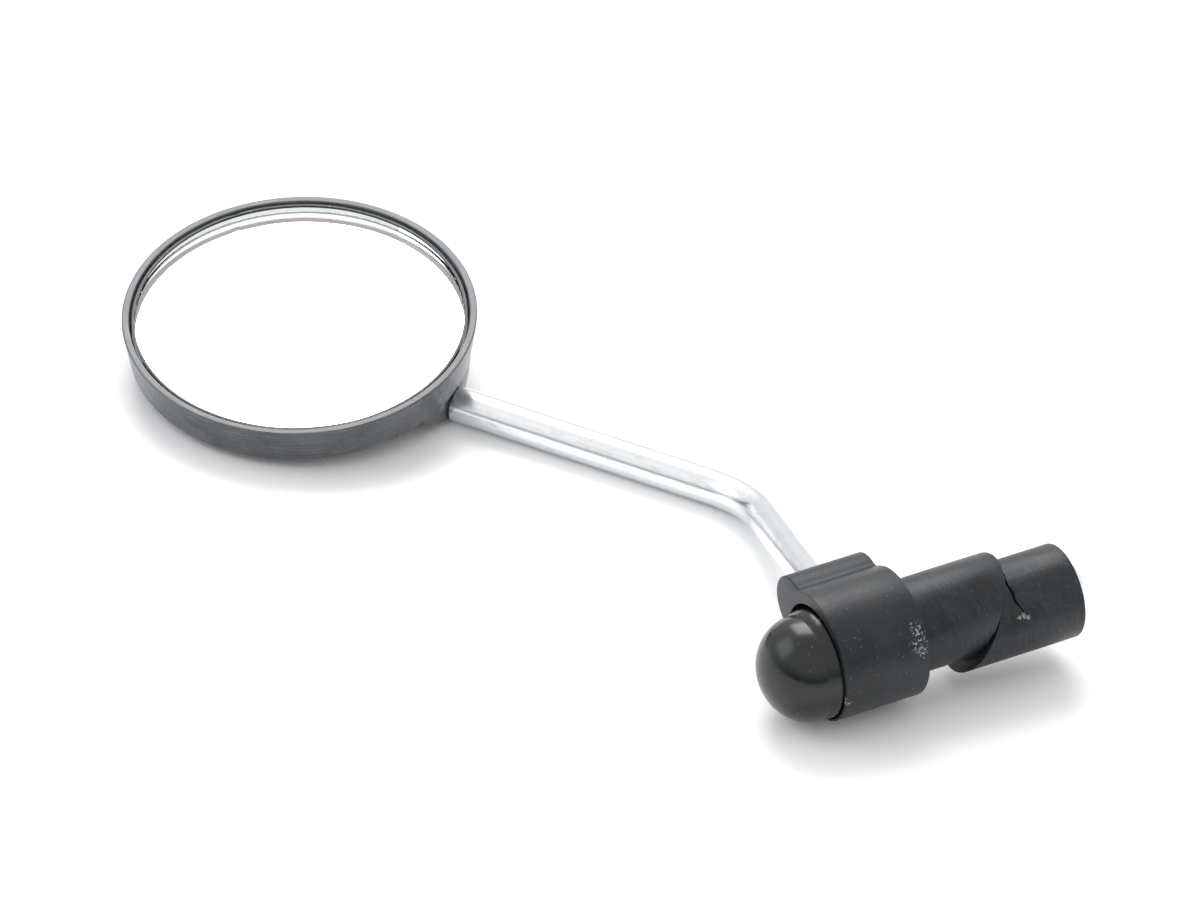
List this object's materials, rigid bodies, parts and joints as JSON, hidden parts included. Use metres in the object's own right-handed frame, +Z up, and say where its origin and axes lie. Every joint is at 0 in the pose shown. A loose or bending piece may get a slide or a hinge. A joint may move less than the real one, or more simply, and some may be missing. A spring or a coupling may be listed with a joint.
{
  "type": "bar_end_mirror",
  "caption": "Bar-end bicycle mirror: round flat mirror in a black head on a bent zinc-plated arm, with a turning collar and an expanding plug for the handlebar's open end.",
  "frame": {"origin": "middle of the whole mirror's footprint, on the surface it lies on", "axes": "+X along the straight of the arm from the head to the bend, +Y across the arm towards the side the plug points to, +Z up with the mirror face up"},
  "size_m": [0.2153, 0.0988, 0.0273],
  "materials": {
    "housing_plastic": "moulded, fine grain",
    "bezel_plastic": "smooth moulded",
    "mirror": "silvered on the back, polished front",
    "foam": "closed-cell foam with adhesive",
    "nylon": "natural nylon",
    "zinc_plate": "bright zinc plating over drawn steel",
    "collar_plastic": "grainy glass-filled nylon",
    "cap_rubber": "smooth soft rubber",
    "spring_steel": "oiled spring steel"
  },
  "bodies": {
    "head": {"mirror_housing": "housing_plastic", "glass_bezel": "bezel_plastic", "mirror_glass": "mirror", "glass_pad": "foam", "head_bush": "nylon", "head_wave_washer": "spring_steel"},
    "arm": {"head_washer": "zinc_plate", "head_clip": "spring_steel", "head_pivot_pin": "zinc_plate", "arm_tube": "zinc_plate", "arm_foot_plug": "nylon"},
    "collar": {"bar_collar": "collar_plastic", "arm_lock_pin": "spring_steel", "collar_friction_ring": "nylon"},
    "plug": {"plug_body": "collar_plastic", "hub_washer": "zinc_plate", "spring_washer": "spring_steel"},
    "screw": {"expander_screw": "zinc_plate"},
    "wedge": {"expander_wedge": "collar_plastic"},
    "nut": {"wedge_nut": "zinc_plate"},
    "cap": {"dome_cap": "cap_rubber"}
  },
  "joints": [
    {"name": "collar_turn", "type": "hinge", "parent": "plug", "child": "collar", "pos_m": [0.07361, -0.02834, 0.01378], "axis": [0.6005, 0.7963, 0.0724], "continuous": true},
    {"name": "arm_turn", "type": "hinge", "parent": "collar", "child": "arm", "pos_m": [0.06258, -0.02339, 0.01706], "axis": [0.6191, -0.745, 0.2483], "continuous": true},
    {"name": "head_swivel", "type": "hinge", "parent": "arm", "child": "head", "pos_m": [-0.04168, 0.01699, 0.0036], "axis": [1, 0, 0], "continuous": true},
    {"name": "cap_pull", "type": "slide", "parent": "collar", "child": "cap", "axis": [-0.6005, -0.7963, -0.0724], "range_m": [0, 0.012]},
    {"name": "screw_turn", "type": "hinge", "parent": "plug", "child": "screw", "pos_m": [0.06724, -0.03678, 0.01302], "axis": [0.6086, 0.7931, 0.0227], "range_deg": [-634, 126.8]},
    {"name": "wedge_slide", "type": "slide", "parent": "plug", "child": "wedge", "axis": [-0.1264, -0.4122, -0.9023], "range_m": [-0.003, 0.0006]},
    {"name": "nut_travel", "type": "slide", "parent": "plug", "child": "nut", "axis": [0.6086, 0.7931, 0.0227], "range_m": [-0.00029, 0.00141]}
  ],
  "couplings": [
    {"joint": "screw_turn", "follows": "wedge_slide", "rad_per_m": 3687.3},
    {"joint": "nut_travel", "follows": "wedge_slide", "ratio": -0.4694}
  ]
}
